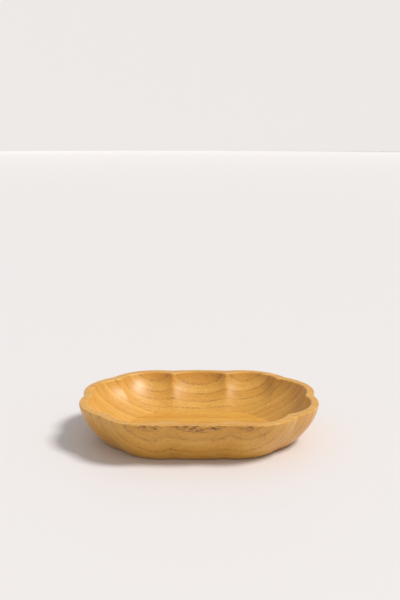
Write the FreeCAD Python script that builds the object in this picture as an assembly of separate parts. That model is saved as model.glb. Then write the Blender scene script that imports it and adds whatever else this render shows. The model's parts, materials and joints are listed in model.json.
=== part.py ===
import FreeCAD, Part

import math
import os
from collections import namedtuple

"""Scalloped serving tray, milled from one glued block of bamboo strips.

Frame: millimetres, +Z up, X along the length, -Y is the front.
Origin: centre of the flat underside, on the surface that the tray rests on.

The block is glued up first: strips stand on edge side by side across the width, their fibres
along the length.  The ten-lobed bowl is then milled out of the block, so every strip ends up
with its own slice of the rim, the walls and the floor.  Here the milled form is made once and
cut at the glue planes, one node for each strip.  The strip at either long side survives only
as a thin lens in each of the three lobes there, so its node holds three solids.
"""

# ---------------------------------------------------------------- driving dimensions
height = 55.0                 # table to rim
floor_thickness = 8.0         # underside to the inner floor

# Outline of the rim.  The cusps between lobes stand on an oval; each lobe bulges past its chord.
rim_cusp_length = 316.6       # across the two end cusps
rim_cusp_width = 261.8        # the oval's full width
rim_squareness = 2.47         # exponent of the oval, 2 is an ellipse
rim_end_bulge = 16.1          # rise of an end lobe over its chord
rim_corner_bulge = 17.4
rim_side_bulge = 3.6
outer_cusp_round = 14.6       # radius that softens each outside cusp
outer_corner_direction = 36.0 # from the centre to a corner cusp, in degrees off the length
outer_side_direction = 72.0   # the same for a side cusp

# Wall thickness at the rim, and the deeper lobes of the inside.
end_cusp_wall = 12.5          # rim width at an end cusp
side_cusp_wall = 20.2         # rim width at the oval's sides
inner_squareness = 2.63
inner_end_bulge = 18.5
inner_corner_bulge = 21.5
inner_side_bulge = 12.9
inner_cusp_round = 4.0        # radius on each inside ridge, at the rim
inner_corner_direction = 36.0 # to a corner ridge at the rim, in degrees off the length
inner_side_direction = 70.0   # to a side ridge at the rim

# How the walls draw in below the rim.
end_overhang = 29.7           # rim past the base, at the ends
side_overhang = 28.6          # rim past the base, at the sides
end_profile_power = 2.3       # 1 is a straight slope, more is rounder
side_profile_power = 1.43
inner_end_draw_in = 45.0      # inner rim past the inner floor, at the ends
inner_side_draw_in = 40.0     # inner rim past the inner floor, at the sides
inner_profile_power = 2.0
base_lobe_share = 0.73        # lobe depth left at the base, against the rim
base_squareness = 2.25        # exponent of the base's oval
floor_lobe_share = 0.40       # lobe depth left at the inner floor, against the inner rim
floor_cusp_round = 34.0       # the inside ridges fade out to this radius at the floor
floor_corner_direction = 31.5 # to a corner ridge at the floor, in degrees off the length
floor_side_direction = 62.0   # to a side ridge at the floor, so that it runs straight down

# Eased edges.
rim_edge_radius = 2.0
base_edge_radius = 3.0

# The glued block, which is a little wider than the tray that is milled out of it.
floor_strip_count = 24        # strips that run under the flat inner floor
wall_strip_count = 12         # more strips in the front wall, and again in the back wall
milling_allowance = 3.1       # block left over past the tray on each long side

# ---------------------------------------------------------------- how surfaces are drawn
LOBE_COUNT = 10
LOBE_POINTS = 9               # control points along a lobe
BLEND_POINTS = 5              # control points round a softened cusp, odd so that one is mid-way
DEGREE = 3
OUTER_ROWS = (0.065, 0.165, 0.29, 0.45, 0.65, 0.84, 0.945)      # shares of the height
INNER_ROWS = (0.03, 0.09, 0.20, 0.37, 0.59, 0.80, 0.945)        # shares of the hollow's depth
CUTTER_MARGIN = 20.0

# A milled surface: how its outline at the top level draws in towards the bottom level.  The
# squareness, the cusp directions and the cusp rounding are pairs, for the bottom level and the
# top one.
Surface = namedtuple(
    "Surface",
    "low high oval draw_in powers squareness corner_direction side_direction bulges blend low_share",
)

# A row of control points: the level whose outline it follows, its height, and how far it is
# grown outward.
Row = namedtuple("Row", "level z grow")


def between(pair, below_top):
    """Value at a level, for a pair of values at the bottom level and at the top one."""
    return pair[0] * below_top + pair[1] * (1.0 - below_top)


def oval_point(direction, half_length, half_width, squareness, z):
    """Point of a superellipse in a direction given in degrees."""
    angle = math.radians(direction)
    along = abs(math.cos(angle) / half_length) ** squareness
    across = abs(math.sin(angle) / half_width) ** squareness
    radius = (along + across) ** (-1.0 / squareness)
    return FreeCAD.Vector(radius * math.cos(angle), radius * math.sin(angle), z)


def lobe_circle(start, end, bulge, grow):
    """Centre and radius of the arc from start to end that rises over its chord by bulge."""
    chord = end - start
    radius = (chord.Length ** 2 / 4.0 + bulge ** 2) / (2.0 * bulge)
    outward = FreeCAD.Vector(chord.y, -chord.x, 0.0).normalize()
    return (start + end) * 0.5 + outward * (bulge - radius), radius + grow


def blend_centre(before, after, cusp, blend_radius):
    """Centre of the small circle that touches two lobe circles from outside, by their cusp."""
    reach_before = before[1] + blend_radius
    reach_after = after[1] + blend_radius
    line = after[0] - before[0]
    along = (reach_before ** 2 - reach_after ** 2 + line.Length ** 2) / (2.0 * line.Length)
    aside = math.sqrt(max(reach_before ** 2 - along ** 2, 0.0))
    unit = FreeCAD.Vector(line).normalize()
    normal = FreeCAD.Vector(-unit.y, unit.x, 0.0)
    foot = before[0] + unit * along
    return max((foot + normal * aside, foot - normal * aside), key=lambda point: point.dot(cusp))


def arc_points(centre, radius, start, end, count):
    """Evenly spaced points on the shorter arc about a centre."""
    middle = ((start + end) * 0.5 - centre).normalize()
    return Part.Arc(start, centre + middle * radius, end).toShape().discretize(count)


def outline_points(surface, row):
    """The ten lobes of an outline, each as points from mid-cusp to mid-cusp."""
    below_top = (surface.high - row.level) / (surface.high - surface.low)
    lobe_share = between((surface.low_share, 1.0), below_top)
    squareness = between(surface.squareness, below_top)
    drawn = below_top ** surface.powers[0]
    corner = between(surface.corner_direction, drawn)
    side = between(surface.side_direction, drawn)
    half_turn = [0.0, corner, side, 180.0 - side, 180.0 - corner]
    directions = half_turn + [direction + 180.0 for direction in half_turn]
    half_length, half_width = [
        across / 2.0 - draw_in * below_top ** power
        for across, draw_in, power in zip(surface.oval, surface.draw_in, surface.powers)
    ]
    blend_radius = between(surface.blend, drawn) - row.grow
    end_bulge, corner_bulge, side_bulge = [bulge * lobe_share for bulge in surface.bulges]
    bulges = [end_bulge, corner_bulge, side_bulge, corner_bulge, end_bulge] * 2
    cusps = [oval_point(direction, half_length, half_width, squareness, row.z)
             for direction in directions]
    circles = [lobe_circle(cusps[i], cusps[(i + 1) % LOBE_COUNT], bulges[i], row.grow)
               for i in range(LOBE_COUNT)]
    arrivals = []
    departures = []
    blends = []
    for i in range(LOBE_COUNT):
        before, after = circles[i - 1], circles[i]
        centre = blend_centre(before, after, cusps[i], blend_radius)
        arrivals.append(before[0] + (centre - before[0]).normalize() * before[1])
        departures.append(after[0] + (centre - after[0]).normalize() * after[1])
        blends.append(arc_points(centre, blend_radius, arrivals[i], departures[i], BLEND_POINTS))
    middle = BLEND_POINTS // 2
    lobes = []
    for i in range(LOBE_COUNT):
        following = (i + 1) % LOBE_COUNT
        lobe = arc_points(*circles[i], departures[i], arrivals[following], LOBE_POINTS)
        lobes.append(blends[i][middle:] + lobe[1:-1] + blends[following][:middle + 1])
    return lobes


def clamped_knots(count):
    """Knots and multiplicities of a clamped uniform spline with this many control points."""
    inner_count = count - DEGREE - 1
    knots = [float(i) for i in range(inner_count + 2)]
    return knots, [DEGREE + 1] + [1] * inner_count + [DEGREE + 1]


def lobe_patches(surface, rows):
    """One spline surface for each lobe; neighbours share their border control points."""
    drawn_rows = [outline_points(surface, row) for row in rows]
    patches = []
    for i in range(LOBE_COUNT):
        grid = [drawn_row[i] for drawn_row in drawn_rows]
        height_knots, height_multiplicities = clamped_knots(len(grid))
        round_knots, round_multiplicities = clamped_knots(len(grid[0]))
        patch = Part.BSplineSurface()
        patch.buildFromPolesMultsKnots(
            grid, height_multiplicities, round_multiplicities, height_knots, round_knots,
            False, False, DEGREE, DEGREE,
        )
        patches.append(patch)
    return patches


def lobed_solid(surface, rows):
    """Solid between the flat inside the first row and the flat inside the last one."""
    patches = lobe_patches(surface, rows)
    first, last = patches[0].bounds()[:2]
    bottom = Part.Face(Part.Wire([patch.uIso(first).toShape() for patch in patches]))
    top = Part.Face(Part.Wire([patch.uIso(last).toShape() for patch in patches]))
    shell = Part.Shell([patch.toShape() for patch in patches] + [bottom, top])
    shell.sewShape()
    solid = Part.Solid(shell)
    if solid.Volume < 0.0:
        solid.reverse()
    return solid


def outside_form():
    """The tray's outside, solid right through.  The rows at both flats round their edges."""
    surface = Surface(
        low=0.0,
        high=height,
        oval=(rim_cusp_length, rim_cusp_width),
        draw_in=(end_overhang, side_overhang),
        powers=(end_profile_power, side_profile_power),
        squareness=(base_squareness, rim_squareness),
        corner_direction=(outer_corner_direction, outer_corner_direction),
        side_direction=(outer_side_direction, outer_side_direction),
        bulges=(rim_end_bulge, rim_corner_bulge, rim_side_bulge),
        blend=(outer_cusp_round, outer_cusp_round),
        low_share=base_lobe_share,
    )
    levels = [height * share for share in OUTER_ROWS]
    rows = [Row(0.0, 0.0, -base_edge_radius), Row(0.0, 0.0, 0.0)]
    rows += [Row(level, level, 0.0) for level in levels]
    rows += [Row(height, height, 0.0), Row(height, height, -rim_edge_radius)]
    return lobed_solid(surface, rows)


def hollow_form():
    """The space milled out of the tray, from the inner floor to the rim."""
    surface = Surface(
        low=floor_thickness,
        high=height,
        oval=(rim_cusp_length - 2.0 * end_cusp_wall, rim_cusp_width - 2.0 * side_cusp_wall),
        draw_in=(inner_end_draw_in, inner_side_draw_in),
        powers=(inner_profile_power, inner_profile_power),
        squareness=(inner_squareness, inner_squareness),
        corner_direction=(floor_corner_direction, inner_corner_direction),
        side_direction=(floor_side_direction, inner_side_direction),
        bulges=(inner_end_bulge, inner_corner_bulge, inner_side_bulge),
        blend=(floor_cusp_round, inner_cusp_round),
        low_share=floor_lobe_share,
    )
    depth = height - floor_thickness
    levels = [floor_thickness + depth * share for share in INNER_ROWS]
    rows = [Row(floor_thickness, floor_thickness, 0.0)]
    rows += [Row(level, level, 0.0) for level in levels]
    rows += [Row(height, height, 0.0), Row(height, height, rim_edge_radius)]
    return lobed_solid(surface, rows)


def strip_names():
    """Names from the front rim to the back rim."""
    outwards = range(wall_strip_count, 0, -1)
    inwards = range(1, wall_strip_count + 1)
    front = ["front_wall_strip_%02d" % number for number in inwards]
    floor = ["floor_strip_%02d" % (i + 1) for i in range(floor_strip_count)]
    back = ["back_wall_strip_%02d" % number for number in outwards]
    return front + floor + back


def main():
    os.makedirs("parts", exist_ok=True)
    bowl = outside_form().cut(hollow_form())
    bounds = bowl.BoundBox
    names = strip_names()
    block_front = bounds.YMin - milling_allowance
    strip_width = (bounds.YLength + 2.0 * milling_allowance) / len(names)
    blank_size = (bounds.XLength + 2.0 * CUTTER_MARGIN, strip_width,
                  bounds.ZLength + 2.0 * CUTTER_MARGIN)
    for index, name in enumerate(names):
        glue_plane = block_front + index * strip_width
        corner = FreeCAD.Vector(bounds.XMin - CUTTER_MARGIN, glue_plane, -CUTTER_MARGIN)
        strip = bowl.common(Part.makeBox(*blank_size, corner))
        strip.exportStep(os.path.join("parts", name + ".step"))
        print("%-20s %d solid, %.1f cm3" % (name, len(strip.Solids), strip.Volume / 1000.0))
    print("overall %.1f x %.1f x %.1f mm" % (bounds.XLength, bounds.YLength, bounds.ZLength))
    print("strip width %.2f mm" % strip_width)


main()
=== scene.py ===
# %% [markdown]
# # A scalloped bamboo serving tray
# The tray is one block of bamboo strips glued side by side, then milled into a shallow bowl with
# ten lobes.  The shape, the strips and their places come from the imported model, which is loaded
# as a fixed frame.  This lesson gives that frame its looks: a camera, a table and a wall, studio
# light, and a bamboo finish built from the way the plant grows.

# %% Load the frame and measure it
import json
import math
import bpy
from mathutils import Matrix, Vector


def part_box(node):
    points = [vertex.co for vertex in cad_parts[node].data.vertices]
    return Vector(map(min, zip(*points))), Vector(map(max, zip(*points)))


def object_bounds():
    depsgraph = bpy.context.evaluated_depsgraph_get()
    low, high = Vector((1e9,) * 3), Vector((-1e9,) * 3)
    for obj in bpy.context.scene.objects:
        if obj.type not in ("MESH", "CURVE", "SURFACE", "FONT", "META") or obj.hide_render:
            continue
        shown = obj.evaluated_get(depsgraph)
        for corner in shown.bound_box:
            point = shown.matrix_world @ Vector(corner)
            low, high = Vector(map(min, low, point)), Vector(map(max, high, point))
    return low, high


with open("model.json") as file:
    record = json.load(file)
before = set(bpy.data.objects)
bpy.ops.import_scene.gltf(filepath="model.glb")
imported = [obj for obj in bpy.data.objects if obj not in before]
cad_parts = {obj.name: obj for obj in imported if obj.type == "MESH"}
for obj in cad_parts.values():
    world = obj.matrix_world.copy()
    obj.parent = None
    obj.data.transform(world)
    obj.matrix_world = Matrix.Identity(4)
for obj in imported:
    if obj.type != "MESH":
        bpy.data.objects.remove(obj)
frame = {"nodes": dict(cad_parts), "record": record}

from types import SimpleNamespace

import bpy
from mathutils import Vector

MM_PER_METRE = 1000.0

cad_low, cad_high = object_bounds()
tray_size = cad_high - cad_low
print("tray %.0f x %.0f x %.0f mm" % tuple(MM_PER_METRE * side for side in tray_size))

# %% [markdown]
# ## The strips and their glue planes
# Every strip stands on edge, so its two glue planes are flat and face along Y.  The frame gives
# each strip's box.  Sorting the boxes from front to back gives the strips in the order they were
# clamped, and a middle strip, which is whole, gives the width of one.

# %% Strips from front to back
strips = sorted(frame["nodes"], key=lambda name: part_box(name)[1][1])
middle_low, middle_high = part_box(strips[len(strips) // 2])
strip_width = middle_high[1] - middle_low[1]
glue_plane = middle_low[1]
print(len(strips), "strips, each %.2f mm wide" % (MM_PER_METRE * strip_width))

# %% [markdown]
# ## Camera
# A product camera stands a little over a metre in front of the tray and looks down at a slight
# angle, so the front wall, the rim and the inside all show.  A lens a bit longer than normal keeps
# the lobes from being stretched.

# %% Place the camera
CAMERA_PLACE = Vector((0.0013, -1.202, 0.419))
CAMERA_PITCH = math.radians(10.85)
LENS_MM = 54.3
SENSOR_MM = 36.0
FARTHEST_SEEN = 40.0

camera_data = bpy.data.cameras.new("product_camera")
camera_data.lens = LENS_MM
camera_data.sensor_width = SENSOR_MM
camera_data.clip_end = FARTHEST_SEEN
camera = bpy.data.objects.new("product_camera", camera_data)
camera.location = CAMERA_PLACE
camera.rotation_euler = (math.pi / 2.0 - CAMERA_PITCH, 0.0, 0.0)
bpy.context.collection.objects.link(camera)
bpy.context.scene.camera = camera
print("camera %.2f m from the tray" % camera.location.length)

# %% [markdown]
# ## Table
# The tray stands on a white table top.  A board behind it would hide the tray from anyone who
# walks round to the back, so there is only a floor here: one wide disc, which looks the same from
# every side.  It lies a hair below the underside, because two faces in exactly the same plane
# flicker in a render.

# %% White table top
TABLE_RADIUS = 15.0
TABLE_SIDES = 96
TABLE_GAP = 0.0001
TABLE_LOOK = {"Base Color": (0.74, 0.72, 0.72, 1.0), "Roughness": 0.55}


def ring(height):
    """Points spaced evenly round the edge of the table, at one height."""
    points = []
    for side in range(TABLE_SIDES):
        turn = 2.0 * math.pi * side / TABLE_SIDES
        points.append((TABLE_RADIUS * math.cos(turn), TABLE_RADIUS * math.sin(turn), height))
    return points


def set_piece(name, points, faces):
    """A piece of the surroundings, as a mesh object of its own."""
    mesh = bpy.data.meshes.new(name)
    mesh.from_pydata(points, [], faces)
    piece = bpy.data.objects.new(name, mesh)
    bpy.context.collection.objects.link(piece)
    return piece


def plain_material(name, look):
    """One even material; look gives the shader's sockets and their values."""
    material = bpy.data.materials.new(name)
    material.use_nodes = True
    shader = material.node_tree.nodes["Principled BSDF"]
    for socket, value in look.items():
        shader.inputs[socket].default_value = value
    return material


table = set_piece("table_top", ring(cad_low.z - TABLE_GAP), [range(TABLE_SIDES)])
table.data.materials.append(plain_material("white_table", TABLE_LOOK))
print("table top %.0f m across" % (2.0 * TABLE_RADIUS))

# %% [markdown]
# ## Wall
# Past the table's edge there would be nothing but dim air.  A pale wall stands all round it, much
# further out than any camera, and glows a little so that it looks as light as the table.

# %% Pale wall
WALL_HEIGHT = 3.5
WALL_LOOK = {
    "Base Color": (0.0, 0.0, 0.0, 1.0),
    "Emission Color": (0.82, 0.79, 0.775, 1.0),
    "Emission Strength": 1.0,
}


def build_wall():
    faces = []
    for side in range(TABLE_SIDES):
        following = (side + 1) % TABLE_SIDES
        faces.append((side, following, following + TABLE_SIDES, side + TABLE_SIDES))
    return set_piece("pale_wall", ring(-TABLE_GAP) + ring(WALL_HEIGHT), faces)


wall = build_wall()
wall.data.materials.append(plain_material("pale_wall", WALL_LOOK))
print("wall of", len(wall.data.polygons), "faces")

# %% [markdown]
# ## Light
# The key light comes from the right and above, so each lobe shows a light flank and a dark one,
# and the tray throws its shadow to the left.  A sun lamp with a wide angle behaves like a large
# softbox a long way off: its shadows are soft and the table is equally bright all round.  The room
# gives back the rest as an even fill.  Colours are shown as they are, without a film look.

# %% Key light and room
KEY_BEARING = math.radians(-10.0)
KEY_HEIGHT = math.radians(54.0)
KEY_ANGLE = math.radians(18.0)
KEY_STRENGTH = 2.75
KEY_COLOUR = (1.0, 0.98, 0.96)
ROOM_LIGHT = 0.50
ROOM_COLOUR = (1.0, 0.985, 0.975, 1.0)

key_data = bpy.data.lights.new("key_light", "SUN")
key_data.energy = KEY_STRENGTH
key_data.angle = KEY_ANGLE
key_data.color = KEY_COLOUR
key = bpy.data.objects.new("key_light", key_data)
towards_key = Vector((
    math.cos(KEY_HEIGHT) * math.cos(KEY_BEARING),
    math.cos(KEY_HEIGHT) * math.sin(KEY_BEARING),
    math.sin(KEY_HEIGHT),
))
key.rotation_euler = towards_key.to_track_quat("Z", "Y").to_euler()
bpy.context.collection.objects.link(key)
room = bpy.data.worlds.new("room")
room.use_nodes = True
background = room.node_tree.nodes["Background"]
background.inputs["Color"].default_value = ROOM_COLOUR
background.inputs["Strength"].default_value = ROOM_LIGHT
bpy.context.scene.world = room
bpy.context.scene.view_settings.view_transform = "Standard"

# %% [markdown]
# ## A little language for shader nodes
# A bamboo finish takes dozens of small sums.  Wiring them one by one hides the idea, so this class
# makes a node for each call and returns its output, and the recipe below reads like arithmetic.

# %% Node writer
class NodeWriter:
    """Adds nodes to one material and returns their outputs."""

    def __init__(self, material):
        self.tree = material.node_tree

    def node(self, kind, inputs=(), output=0, **settings):
        made = self.tree.nodes.new(kind)
        for name, value in settings.items():
            setattr(made, name, value)
        for socket, value in dict(inputs).items():
            if isinstance(value, bpy.types.NodeSocket):
                self.tree.links.new(value, made.inputs[socket])
            else:
                made.inputs[socket].default_value = value
        return made.outputs[output]

    def math(self, operation, first, second=0.0):
        return self.node("ShaderNodeMath", {0: first, 1: second}, operation=operation)

    def add(self, first, second):
        return self.math("ADD", first, second)

    def times(self, first, second):
        return self.math("MULTIPLY", first, second)

    def less(self, first, second):
        return self.math("SUBTRACT", first, second)

    def smooth(self, value, low, high):
        """0 below low, 1 above high, and an even S between."""
        return self.node(
            "ShaderNodeMapRange", {"Value": value, "From Min": low, "From Max": high},
            interpolation_type="SMOOTHSTEP",
        )

    def point(self, x, y, z):
        return self.node("ShaderNodeCombineXYZ", {0: x, 1: y, 2: z})

    def noise(self, where, detail):
        return self.node("ShaderNodeTexNoise", {"Vector": where, "Scale": 1.0, "Detail": detail})

    def chance(self, number, seed):
        """A value from 0 to 1 that differs for every whole number."""
        return self.node(
            "ShaderNodeTexWhiteNoise", {"Vector": self.point(number, seed, 0.0)},
            noise_dimensions="3D",
        )

    def blend(self, share, first, second):
        """Mix two colours; the sockets are those of the colour version of the node."""
        return self.node(
            "ShaderNodeMix", {0: share, 6: first, 7: second}, output=2, data_type="RGBA",
        )


print("node writer ready")

# %% [markdown]
# ## Bamboo
# A bamboo strip is cut from the wall of the stem.  Its outer side is packed with dark, hard
# bundles of fibre and its inner side is pale and soft, so every strip shades from one side to the
# other.  The strips are glued dense side to dense side, so every second glue plane looks bold.
# The finish could be painted on each face, but a milled surface cuts through the wood at every
# slope.  So it is written as a solid pattern in space, and each cut then shows the right curves.

# %% Bamboo colours
PALE = (0.80, 0.465, 0.085, 1.0)
HONEY = (0.63, 0.285, 0.026, 1.0)
DENSE = (0.40, 0.150, 0.014, 1.0)
DARK_BROWN = (0.15, 0.050, 0.008, 1.0)
SLOT_TONES = {
    "bamboo_honey": 0.50,
    "bamboo_pale": 0.38,
    "bamboo_amber": 0.62,
    "bamboo_straw": 0.44,
}


def stain(write, colour, share, strength, dark):
    """Move a colour towards a darker one where share is high."""
    return write.blend(write.times(share, strength), colour, dark)


print(len(SLOT_TONES), "tones of strip")

# %% [markdown]
# ### Streaks
# Almost everything in bamboo is long and thin, because the stem grows upward fast.  Noise that is
# squeezed across the strip and stretched along it gives such streaks.  Each pattern has a seed of
# its own, which slides its noise along, so that no two line up.  A SimpleNamespace is a bag of
# named values, and here it keeps the numbers of one pattern's grain together.  Noise alone is a
# soft cloud, so each pattern also has an edge: the value where it starts to show and the value
# where it is full.

# %% Streaks
def streaks(write, place, grain):
    """Noise drawn out along the strip; the grain's length and thickness are in metres."""
    where = write.point(
        write.add(write.math("DIVIDE", place.along, grain.length), grain.seed),
        write.math("DIVIDE", place.across, grain.thickness),
        write.math("DIVIDE", place.up, grain.thickness),
    )
    return write.noise(where, grain.detail)


print("streaks ready")

# %% [markdown]
# ### Where a point lies in its strip
# Each pattern needs to know which strip a point is in and how far it is from the dense side.
# Counting strips from a glue plane gives both: the whole part is the strip's number, and a
# zigzag of the count is 0 at one glue plane and 1 at the next, which is what gluing dense side
# to dense side does.  A slow drift keeps the layers from being ruler-straight.

# %% Strip coordinates
DRIFT = SimpleNamespace(seed=1.0, length=0.09, thickness=0.012, detail=2.0)
DRIFT_REACH = 0.16


def find_spot(write):
    """Place in space, strip number, share of the way across, drift and depth from dense side."""
    in_space = write.node("ShaderNodeTexCoord", output="Object")
    along, across, up = write.node("ShaderNodeSeparateXYZ", {0: in_space}).node.outputs
    place = SimpleNamespace(along=along, across=across, up=up)
    counted = write.math("DIVIDE", write.less(place.across, glue_plane), strip_width)
    number = write.math("FLOOR", counted)
    share = write.less(counted, number)
    wander = write.times(write.less(streaks(write, place, DRIFT), 0.5), DRIFT_REACH)
    depth = write.add(write.math("PINGPONG", counted, 1.0), wander)
    return SimpleNamespace(place=place, number=number, share=share, wander=wander, depth=depth)


print("layers wander by up to %.1f mm" % (0.5 * MM_PER_METRE * DRIFT_REACH * strip_width))

# %% [markdown]
# ### Tone
# Strips come from different stems, so each has its own tone, chosen by its number, around the tone
# that its slot gives.  A broad cloud over it keeps a strip from being one flat colour.

# %% Ground tone
TONE_SEED = 3.0
STRIP_CONTRAST = 0.22
CLOUD = SimpleNamespace(seed=7.0, length=0.05, thickness=0.02, detail=2.0)
CLOUD_CONTRAST = 0.5


def ground_colour(write, spot, tone):
    from_mean = write.less(write.chance(spot.number, TONE_SEED), 0.5)
    value = write.add(write.times(from_mean, STRIP_CONTRAST), tone)
    cloud = write.less(streaks(write, spot.place, CLOUD), 0.5)
    value = write.add(value, write.times(cloud, CLOUD_CONTRAST))
    return write.blend(write.smooth(value, 0.0, 1.0), PALE, HONEY)


print("strips differ by", STRIP_CONTRAST)

# %% [markdown]
# ### Layers
# Inside a strip the bundles lie in thin sheets.  A wave over the depth in the strip draws them, and
# short streaks break them up, because a real sheet is a row of bundles and not a line.

# %% Layers
LAYERS_PER_STRIP = 4.0
LAYER_EDGE = (0.1, 1.0)
LAYER_GAPS = SimpleNamespace(seed=23.0, length=0.02, thickness=0.0015, detail=2.0)
LAYER_GAP_EDGE = (0.35, 0.6)
LAYER_STRENGTH = 0.24


def add_layers(write, spot, colour):
    wave = write.math("SINE", write.times(spot.depth, 2.0 * math.pi * LAYERS_PER_STRIP))
    sheets = write.smooth(wave, *LAYER_EDGE)
    unbroken = write.smooth(streaks(write, spot.place, LAYER_GAPS), *LAYER_GAP_EDGE)
    return stain(write, colour, write.times(sheets, unbroken), LAYER_STRENGTH, DENSE)


print("layers about %.1f mm apart" % (MM_PER_METRE * strip_width / LAYERS_PER_STRIP))

# %% [markdown]
# ### Fibre and flecks
# The finest detail is of two kinds: hairlines along the strip, and flecks a few millimetres long
# where a bundle comes up to the surface.  On an end of the tray both are cut across and show as
# dots, with no extra work, because the pattern is solid.

# %% Fibre and flecks
FIBRE = SimpleNamespace(seed=31.0, length=0.014, thickness=0.0005, detail=3.0)
FIBRE_EDGE = (0.42, 0.68)
FIBRE_STRENGTH = 0.44
FLECK = SimpleNamespace(seed=37.0, length=0.0035, thickness=0.0007, detail=1.0)
FLECK_EDGE = (0.54, 0.70)
FLECK_STRENGTH = 0.44


def add_fibre(write, spot, colour):
    """The colour with its fibre, and the two noises, which later steps use again."""
    fibre = streaks(write, spot.place, FIBRE)
    colour = stain(write, colour, write.smooth(fibre, *FIBRE_EDGE), FIBRE_STRENGTH, DENSE)
    fleck = streaks(write, spot.place, FLECK)
    colour = stain(write, colour, write.smooth(fleck, *FLECK_EDGE), FLECK_STRENGTH, DENSE)
    return colour, fibre, fleck


print("fibre %.1f mm thick" % (MM_PER_METRE * FIBRE.thickness))

# %% [markdown]
# ### Dark dashes
# Where a cut runs almost flat along the dense side, the bundles show as short dark dashes.  They
# gather along the bold glue planes.  The lobes of the two long sides reach furthest out, into the
# hard skin of the outermost strips, so there the dashes are thick and make a patch in each lobe.

# %% Dark dashes
SKIN_MARGIN = 0.0014
SKIN_FADE = 0.0018
SKIN_FULL = cad_high.y - SKIN_MARGIN
SKIN_START = SKIN_FULL - SKIN_FADE
DENSE_EDGE = (0.05, 0.38)
DENSE_STRENGTH = 0.16
DASH = SimpleNamespace(seed=43.0, length=0.0065, thickness=0.0013, detail=1.0)
DASH_EDGE = (0.50, 0.58)
DASH_STRENGTH = 0.46
DASH_STRENGTH_ADDED_IN_SKIN = 0.44
PATCH = SimpleNamespace(seed=51.0, length=0.030, thickness=0.010, detail=2.0)
PATCH_EDGE = (0.42, 0.58)


def add_dashes(write, spot, colour):
    """The colour with its dashes, and the dashes, which the relief uses again."""
    skin = write.smooth(write.math("ABSOLUTE", spot.place.across), SKIN_START, SKIN_FULL)
    dense_side = write.less(1.0, write.smooth(spot.depth, *DENSE_EDGE))
    dense_side = write.math("MAXIMUM", dense_side, skin)
    colour = stain(write, colour, dense_side, DENSE_STRENGTH, DENSE)
    bundles = write.smooth(streaks(write, spot.place, DASH), *DASH_EDGE)
    patch = write.smooth(streaks(write, spot.place, PATCH), *PATCH_EDGE)
    dashes = write.times(bundles, dense_side)
    dashes = write.times(dashes, write.math("MAXIMUM", patch, skin))
    strength = write.add(DASH_STRENGTH, write.times(skin, DASH_STRENGTH_ADDED_IN_SKIN))
    return stain(write, colour, dashes, strength, DARK_BROWN), dashes


print("skin starts %.1f mm from the middle" % (MM_PER_METRE * SKIN_START))

# %% [markdown]
# ### Nodes
# The stem has a ring every few hands' breadths, called a node.  In a strip it is a short stretch
# where the fibre is mottled.  A hard line there would look like two boards butted together, so the
# flecks are only made denser near it, and every strip has its node in another place.

# %% Nodes
NODE_SPACING = 0.24
NODE_SEED = 29.0
NODE_WANDER = 0.02
NODE_EDGE = (0.002, 0.012)
MOTTLE_EDGE = (0.42, 0.62)
NODE_STRENGTH = 0.38


def add_nodes(write, spot, colour, fleck):
    along = write.math("DIVIDE", spot.place.along, NODE_SPACING)
    along = write.add(along, write.chance(spot.number, NODE_SEED))
    along = write.add(along, write.times(spot.wander, NODE_WANDER))
    from_node = write.math("ABSOLUTE", write.less(write.math("FRACT", along), 0.5))
    near = write.less(1.0, write.smooth(write.times(from_node, NODE_SPACING), *NODE_EDGE))
    mottle = write.times(near, write.smooth(fleck, *MOTTLE_EDGE))
    return stain(write, colour, mottle, NODE_STRENGTH, DENSE)


print("a node every %.0f mm" % (MM_PER_METRE * NODE_SPACING))

# %% [markdown]
# ### Glue lines
# The glue film is far thinner than a hair, and good joints almost vanish.  A faint narrow line at
# both edges of each strip is enough.  Its edge is given in shares of the strip's width.

# %% Glue lines
GLUE_EDGE = (0.008, 0.040)
GLUE_STRENGTH = 0.16


def add_glue(write, spot, colour):
    from_glue = write.math("MINIMUM", spot.share, write.less(1.0, spot.share))
    line = write.less(1.0, write.smooth(from_glue, *GLUE_EDGE))
    return stain(write, colour, line, GLUE_STRENGTH, DARK_BROWN)


print("glue line fades out %.2f mm from the joint" % (MM_PER_METRE * GLUE_EDGE[1] * strip_width))

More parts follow.
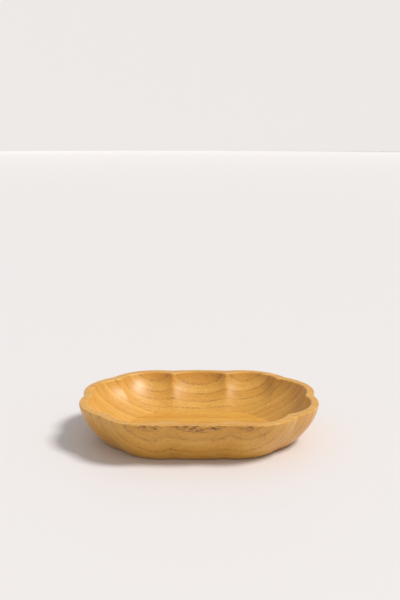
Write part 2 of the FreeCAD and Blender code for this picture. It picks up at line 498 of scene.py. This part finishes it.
# %% [markdown]
# ### Bamboo, put together
# The surface was sanded and oiled.  Sanding leaves the fibre a little proud and the dashes a little
# hollow, which is the bump.  Oil gives a soft gloss, which is the coat, and the fibre breaks it up
# through the roughness.

# %% Bamboo material
SMOOTHEST = 0.34
FIBRE_ROUGHNESS = 0.16
FIBRE_RELIEF = 0.6
DASH_RELIEF = -0.8
BUMP_STRENGTH = 0.25
BUMP_DEPTH = 0.00015
OIL_COAT = 0.32
OIL_ROUGHNESS = 0.42
WOOD_IOR = 1.48


def bamboo(slot_name, tone):
    material = bpy.data.materials.new(slot_name)
    material.use_nodes = True
    write = NodeWriter(material)
    spot = find_spot(write)
    colour = ground_colour(write, spot, tone)
    colour = add_layers(write, spot, colour)
    colour, fibre, fleck = add_fibre(write, spot, colour)
    colour, dashes = add_dashes(write, spot, colour)
    colour = add_nodes(write, spot, colour, fleck)
    colour = add_glue(write, spot, colour)
    rough = write.add(SMOOTHEST, write.times(fibre, FIBRE_ROUGHNESS))
    relief = write.add(write.times(fibre, FIBRE_RELIEF), write.times(dashes, DASH_RELIEF))
    bump = write.node(
        "ShaderNodeBump", {"Strength": BUMP_STRENGTH, "Distance": BUMP_DEPTH, "Height": relief},
    )
    shader = material.node_tree.nodes["Principled BSDF"]
    links = material.node_tree.links
    links.new(colour, shader.inputs["Base Color"])
    links.new(rough, shader.inputs["Roughness"])
    links.new(bump, shader.inputs["Normal"])
    shader.inputs["Coat Weight"].default_value = OIL_COAT
    shader.inputs["Coat Roughness"].default_value = OIL_ROUGHNESS
    shader.inputs["IOR"].default_value = WOOD_IOR
    return material


bamboos = {slot: bamboo(slot, tone) for slot, tone in SLOT_TONES.items()}
print("materials:", sorted(bamboos))

# %% [markdown]
# ## Dress the strips
# The strips keep their meshes, and only the material in each slot changes.  The record says which
# tone every strip has.

# %% Give every strip its bamboo
slot_of = {entry["node"]: entry["material_slot"] for entry in frame["record"]["subparts"]}
for name in strips:
    strip = frame["nodes"][name]
    for slot in strip.material_slots:
        slot.material = bamboos[slot_of[name]]
print(len(strips), "strips dressed")
